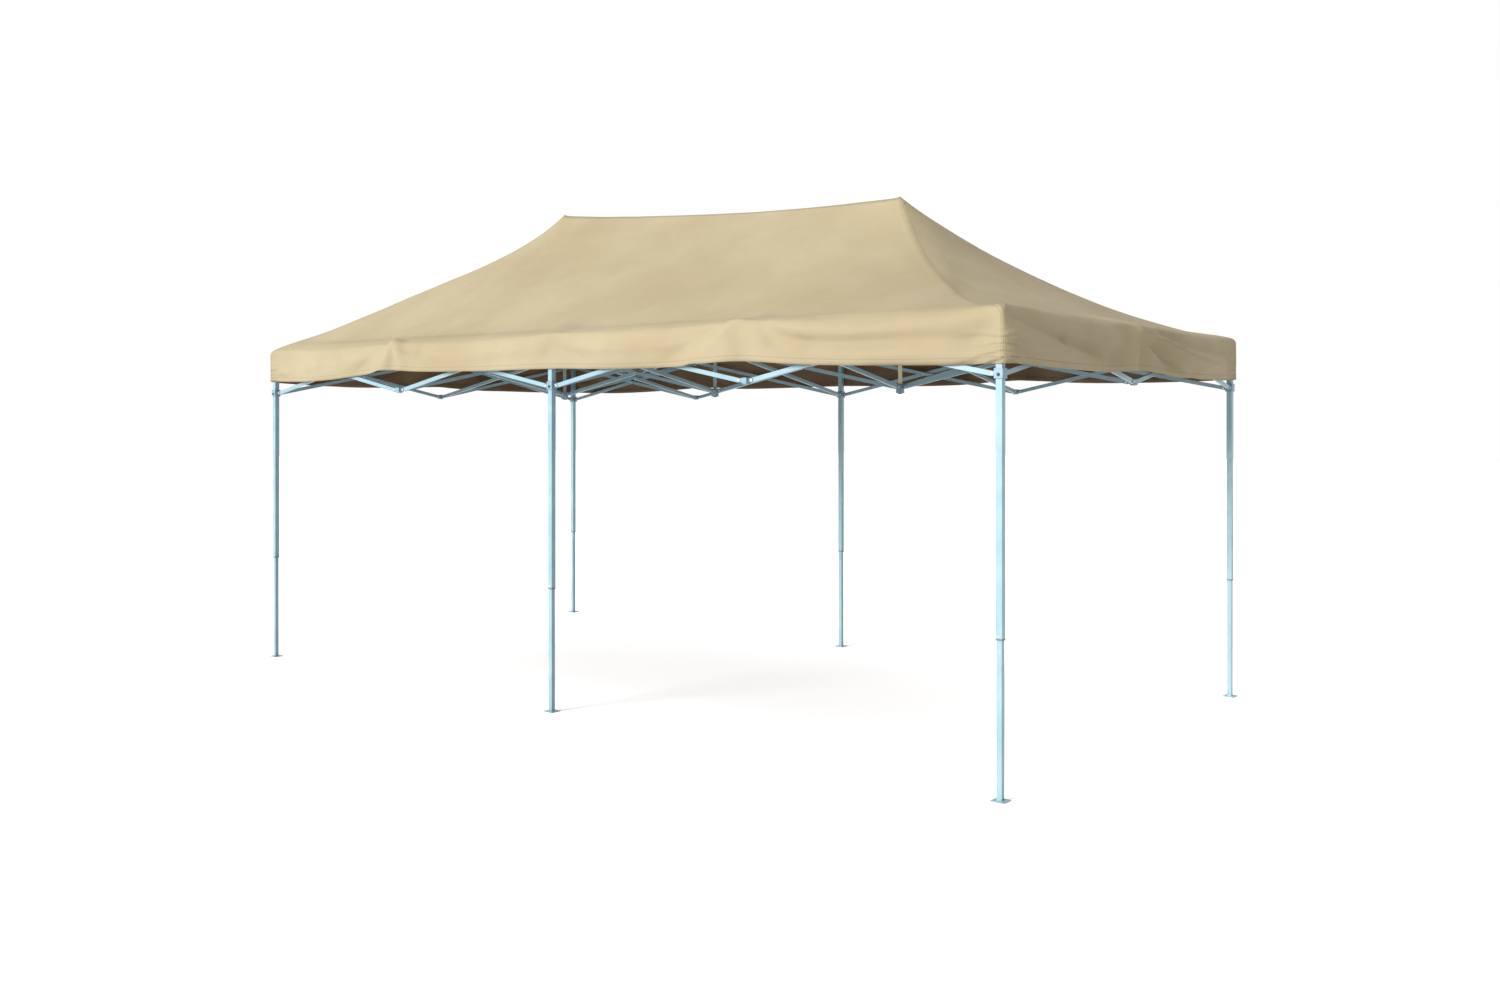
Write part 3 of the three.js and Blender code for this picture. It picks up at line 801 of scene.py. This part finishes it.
def keep_clear(points):
    """Holds the settled cloth near its start, tightest on the taut upper roof, and outside the frame."""
    delta = points - start
    length = np.linalg.norm(delta, axis=1, keepdims=True)
    across_side = np.abs(rest[:, 1]) / HALF_WIDTH
    across_end = np.maximum(0.0, np.abs(rest[:, 0]) - BAY) / (HALF_LENGTH - BAY)
    down = np.clip(np.maximum(across_side, across_end), 0, 1)[:, None]
    limit = 0.004 + 0.032 * down**2
    kept = start + delta * np.minimum(length, limit) / np.maximum(length, 1e-9)
    for axis, half in ((0, HALF_LENGTH), (1, HALF_WIDTH)):
        edge = np.abs(np.abs(rest[:, axis]) - half) < TINY
        sign = np.sign(rest[edge, axis])
        kept[edge, axis] = sign * np.clip(np.abs(kept[edge, axis]), half - 0.008, half + 0.030)
    over = (down[:, 0] > 0.93) & (rest[:, 2] > EAVE_Z - 0.001)
    kept[over, 2] = np.maximum(kept[over, 2], start[over, 2] - 0.006)
    return kept


settled = hang_cloth(sheet)
cloth_data.vertices.foreach_set("co", keep_clear(settled).astype(np.float32).ravel())
cloth_data.update()


def mark_cloth(mesh):
    """UVs in metres, and the distances to the seams and the hem that the material's stitching needs."""
    seam, hem, run, tug, phase = [], [], [], [], []
    for x, y, z in rest:
        across_end = max(0.0, abs(x) - BAY)
        in_roof = abs(x) < HALF_LENGTH - TINY and abs(y) < HALF_WIDTH - TINY
        on_edge_top = abs(z - EAVE_Z) < TINY
        hip = abs(abs(y) - across_end) / math.sqrt(2)
        ridge = abs(y) if abs(x) <= BAY else 9.0
        eave = min(HALF_LENGTH - abs(x), HALF_WIDTH - abs(y))
        if in_roof or on_edge_top:
            seam.append(min(hip if abs(x) > BAY else 9.0, ridge, eave + 0.02))
            hem.append(0.3)
        else:
            corner = max(HALF_LENGTH - abs(x), HALF_WIDTH - abs(y))
            seam.append(min(EAVE_Z - z + 0.02, corner))
            hem.append(z - hem_z(x, y))
        run.append(x + y)
        drop = (EAVE_Z - z) / VALANCE_DROP if not in_roof else 0.0
        from_corner = max(HALF_LENGTH - abs(x), HALF_WIDTH - abs(y))
        tug.append(0.8 * math.exp(-from_corner / 0.28) * smooth((drop - 0.30) / 0.35) if not in_roof else 0.0)
        phase.append((drop - 0.7) * 52.0 / (1 + 5.0 * from_corner))
    laid_out = mesh.attributes.new("laid_out", "FLOAT_VECTOR", "POINT")
    laid_out.data.foreach_set("vector", rest.astype(np.float32).ravel())
    facts = {"seam": seam, "hem": hem, "run": run, "tug": tug, "phase": phase}
    for name, values in facts.items():
        attribute = mesh.attributes.new(name, "FLOAT", "POINT")
        attribute.data.foreach_set("value", np.array(values, np.float32))
    layer = mesh.uv_layers.new(name="cloth")
    for face in mesh.polygons:
        roof = face.normal.z > 0.35
        side = abs(face.normal.y) > abs(face.normal.x)
        for corner in face.loop_indices:
            x, y, z = rest[mesh.loops[corner].vertex_index]
            if roof:
                layer.data[corner].uv = (x, y * 1.19) if side else (x * 1.19, y)
            else:
                layer.data[corner].uv = (x, z) if side else (y, z)


def crease_edges(mesh):
    """Keeps the hips, the ridge, the corner seams and the eave over the hubs crisp through the smoothing."""
    values = np.zeros(len(mesh.edges), np.float32)
    for k, edge in enumerate(mesh.edges):
        a, b = (rest[v] for v in edge.vertices)
        corner = abs(a[0]) == abs(b[0]) == HALF_LENGTH and abs(a[1]) == abs(b[1]) == HALF_WIDTH
        ridge = abs(a[1]) + abs(b[1]) < TINY and max(abs(a[0]), abs(b[0])) < BAY + TINY
        eave = all(p[2] > EAVE_Z - TINY and on_edge(p) for p in (a, b))
        over_hub = abs(abs(a[0]) - BAY) < 0.09 or abs(a[0]) < 0.09
        if corner:
            values[k] = 0.9
        elif on_hip(a) and on_hip(b):
            values[k] = 0.6
        elif ridge:
            values[k] = 0.5
        elif eave:
            values[k] = 0.5 if over_hub else 0.08
    crease = mesh.attributes.new("crease_edge", "FLOAT", "EDGE")
    crease.data.foreach_set("value", values)
    tips = (np.abs(np.abs(rest[:, 0]) - BAY) < TINY) & (np.abs(rest[:, 1]) < TINY)
    crease = mesh.attributes.new("crease_vert", "FLOAT", "POINT")
    crease.data.foreach_set("value", tips.astype(np.float32))


crease_edges(cloth_data)
mark_cloth(cloth_data)
bpy.context.view_layer.objects.active = sheet
subdivide = sheet.modifiers.new("smooth", "SUBSURF")
subdivide.levels = subdivide.render_levels = 1
with bpy.context.temp_override(object=sheet, active_object=sheet):
    bpy.ops.object.modifier_apply(modifier="smooth")


# The folds of the hung cloth: side, start and end as (metres along the side, metres below the eave),
# height outwards, and the half width at the start and at the end. Above the eave, on the roof, the
# metres below it are negative.
FOLDS = [
    ("front", (-1.50, -0.02), (-1.62, 0.17), 0.030, 0.026, 0.070),
    ("front", (-1.50, -0.02), (-1.38, 0.17), 0.026, 0.026, 0.060),
    ("front", (-1.74, 0.02), (-1.90, 0.19), -0.016, 0.035, 0.070),
    ("front", (-1.22, 0.04), (-1.02, 0.19), -0.014, 0.040, 0.080),
    ("front", (1.48, -0.02), (1.16, 0.19), 0.024, 0.030, 0.055),
    ("front", (1.30, 0.02), (0.98, 0.15), -0.016, 0.030, 0.055),
    ("front", (1.58, 0.02), (1.95, 0.11), -0.016, 0.025, 0.050),
    ("front", (3.00, 0.15), (1.70, 0.10), -0.018, 0.020, 0.034),
    ("front", (3.00, 0.22), (2.30, 0.19), 0.010, 0.018, 0.040),
    ("front", (3.00, 0.07), (1.60, 0.03), 0.012, 0.026, 0.040),
    ("front", (-3.00, 0.04), (-2.20, 0.12), -0.008, 0.020, 0.040),
    ("front", (-3.00, 0.17), (-2.40, 0.10), 0.007, 0.018, 0.035),
    ("front", (-0.70, 0.15), (0.90, 0.12), -0.008, 0.040, 0.040),
    ("right", (-1.51, 0.03), (-0.95, 0.10), -0.022, 0.016, 0.036),
    ("right", (-0.95, 0.10), (-0.25, 0.19), -0.022, 0.036, 0.045),
    ("right", (-1.30, 0.12), (-0.60, 0.22), 0.014, 0.020, 0.040),
    ("right", (-1.50, -0.03), (-0.60, 0.00), 0.014, 0.030, 0.060),
    ("right", (-1.50, 0.14), (-1.05, 0.22), 0.014, 0.015, 0.040),
    ("right", (0.00, 0.03), (1.30, 0.19), 0.034, 0.018, 0.038),
    ("right", (0.08, 0.09), (0.80, 0.25), -0.024, 0.018, 0.042),
    ("right", (0.28, 0.01), (1.40, 0.10), -0.022, 0.018, 0.034),
    ("right", (0.00, 0.02), (-0.12, 0.24), 0.018, 0.020, 0.060),
    ("left", (0.00, -0.02), (0.90, 0.18), 0.016, 0.020, 0.050),
    ("left", (0.00, -0.02), (-0.90, 0.18), 0.016, 0.020, 0.050),
    ("left", (1.50, 0.06), (0.90, 0.16), -0.012, 0.018, 0.050),
    ("left", (-1.50, 0.06), (-0.90, 0.16), -0.012, 0.018, 0.050),
    ("back", (-1.50, -0.02), (-1.62, 0.18), 0.018, 0.022, 0.060),
    ("back", (-1.50, -0.02), (-1.36, 0.18), 0.018, 0.022, 0.060),
    ("back", (1.50, -0.02), (1.60, 0.18), 0.018, 0.022, 0.060),
    ("back", (1.50, -0.02), (1.36, 0.18), 0.018, 0.022, 0.060),
    ("back", (3.00, 0.06), (2.20, 0.14), -0.010, 0.020, 0.050),
    ("back", (-3.00, 0.06), (-2.20, 0.14), -0.010, 0.020, 0.050),
    ("back", (-0.60, 0.14), (0.80, 0.12), -0.008, 0.040, 0.040),
]


def chart(x, y, z):
    """The side a laid-out point belongs to, how far along it, and how far below the eave."""
    gaps = {"front": HALF_WIDTH + y, "back": HALF_WIDTH - y}
    gaps |= {"right": HALF_LENGTH - x, "left": HALF_LENGTH + x}
    side = min(gaps, key=gaps.get)
    below = EAVE_Z - z if gaps[side] < 1e-4 else -gaps[side]
    return side, (x if side in ("front", "back") else y), below


def fold_height(side, along, below):
    total = 0.0
    for name, (a0, b0), (a1, b1), height, wide0, wide1 in FOLDS:
        if name != side:
            continue
        da, db = a1 - a0, b1 - b0
        t = ((along - a0) * da + (below - b0) * db) / (da * da + db * db)
        held = min(1.0, max(0.0, t))
        miss = math.hypot(along - a0 - da * held, below - b0 - db * held)
        total += height * math.exp(-((miss / lerp(wide0, wide1, held)) ** 2)) * smooth((held + 0.25) / 0.5)
    return total


def crease_cloth(mesh):
    """Folds and fine creases that a settled sheet has: drawn towards the corners, and over the side hubs."""
    points = np.array([v.co for v in mesh.vertices], float)
    normals = np.array([v.normal for v in mesh.vertices], float)
    laid = np.zeros(len(mesh.vertices) * 3, np.float32)
    mesh.attributes["laid_out"].data.foreach_get("vector", laid)
    moved = points.copy()
    for k, (x, y, z) in enumerate(laid.reshape(-1, 3).astype(float)):
        side, along, below = chart(x, y, z)
        half = HALF_LENGTH if side in ("front", "back") else HALF_WIDTH
        from_corner = half - abs(along)
        clear = smooth(from_corner / 0.05)
        amount = fold_height(side, along, below) * clear
        if below > 0:
            drop = below / VALANCE_DROP
            fan = math.exp(-from_corner / 0.40) * clear * smooth(drop * 2)
            spread = 19.0 / (1 + 1.2 * from_corner)
            amount += 0.0065 * fan * math.sin(drop * spread + 2.4 * noise.noise(Vector((x, y, 4.0)) * 1.3))
            amount += 0.003 * noise.noise(Vector((x * 2.2, y * 2.2, z * 9))) * smooth((1 - drop) * 4)
        else:
            amount += 0.004 * noise.noise(Vector((x * 1.1, y * 1.6, z * 0.8 + 7)))
            amount += 0.0015 * noise.noise(Vector((x * 5, y * 5, z * 4)))
            over_frame = max(0.0, 1 + below / 0.10)
            amount = max(amount, -0.002 * over_frame) if below > -0.10 else amount
        moved[k] += normals[k] * amount
        # The valance hangs outside the legs and bars.
        if abs(y) > HALF_WIDTH - 1e-4:
            moved[k, 1] = math.copysign(max(abs(moved[k, 1]), HALF_WIDTH - 0.008), y)
        if abs(x) > HALF_LENGTH - 1e-4:
            moved[k, 0] = math.copysign(max(abs(moved[k, 0]), HALF_LENGTH - 0.008), x)
    mesh.vertices.foreach_set("co", moved.astype(np.float32).ravel())
    mesh.update()


crease_cloth(cloth_data)
cloth_data.materials.append(CLOTH)
# The second slot is the darker lining, painted shade, which the thickening puts on the inner face.
cloth_data.materials.append(LINING_PAINTED_SHADE)
cloth_data.shade_smooth()
thicken = sheet.modifiers.new("thickness", "SOLIDIFY")
thicken.thickness = CLOTH_THICKNESS
thicken.offset = -1.0
thicken.material_offset = 1
with bpy.context.temp_override(object=sheet, active_object=sheet):
    bpy.ops.object.modifier_apply(modifier="thickness")

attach(sheet, "end_hub_right")
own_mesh(sheet)
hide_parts("canopy_cloth")


# ---------------------------------------------------------------- stage

floor_mesh = bpy.data.meshes.new("floor")
corners = [(-60, -60, -0.001), (60, -60, -0.001), (60, 60, -0.001), (-60, 60, -0.001)]
floor_mesh.from_pydata(corners, [], [(0, 1, 2, 3)])
floor = bpy.data.objects.new("floor", floor_mesh)
bpy.context.scene.collection.objects.link(floor)
paper = Nodes("floor_pale")
tint = paper.mix(paper.noise(0.8, 3.0), (0.84, 0.84, 0.84, 1), (0.86, 0.86, 0.86, 1))
paper.set(Base_Color=tint, Roughness=0.9)
floor_mesh.materials.append(paper.material)

world = bpy.data.worlds.new("studio")
bpy.context.scene.world = world
world.use_nodes = True
world.node_tree.nodes["Background"].inputs["Color"].default_value = (1.0, 1.0, 1.0, 1)
world.node_tree.nodes["Background"].inputs["Strength"].default_value = 1.0

key = bpy.data.lights.new("key", "SUN")
key.energy = 6.6
key.angle = math.radians(24)
key_object = bpy.data.objects.new("key", key)
key_object.rotation_euler = Vector((0.26, 1.0, -0.32)).to_track_quat("-Z", "Y").to_euler()
bpy.context.scene.collection.objects.link(key_object)

top = bpy.data.lights.new("top", "SUN")
top.energy = 0.9
top.angle = math.radians(40)
top_object = bpy.data.objects.new("top", top)
top_object.rotation_euler = Vector((-0.18, 0.10, -1.0)).to_track_quat("-Z", "Y").to_euler()
bpy.context.scene.collection.objects.link(top_object)

camera = bpy.data.cameras.new("camera")
camera.sensor_width = 36
camera.lens = 31.72
camera.shift_x = -0.0012
camera.shift_y = -0.0500
camera_object = bpy.data.objects.new("camera", camera)
camera_object.location = (5.912, -6.894, 1.714)
camera_object.rotation_euler = (math.pi / 2, 0, math.radians(39.021))
bpy.context.scene.collection.objects.link(camera_object)
bpy.context.scene.camera = camera_object
bpy.context.scene.view_settings.view_transform = "Standard"
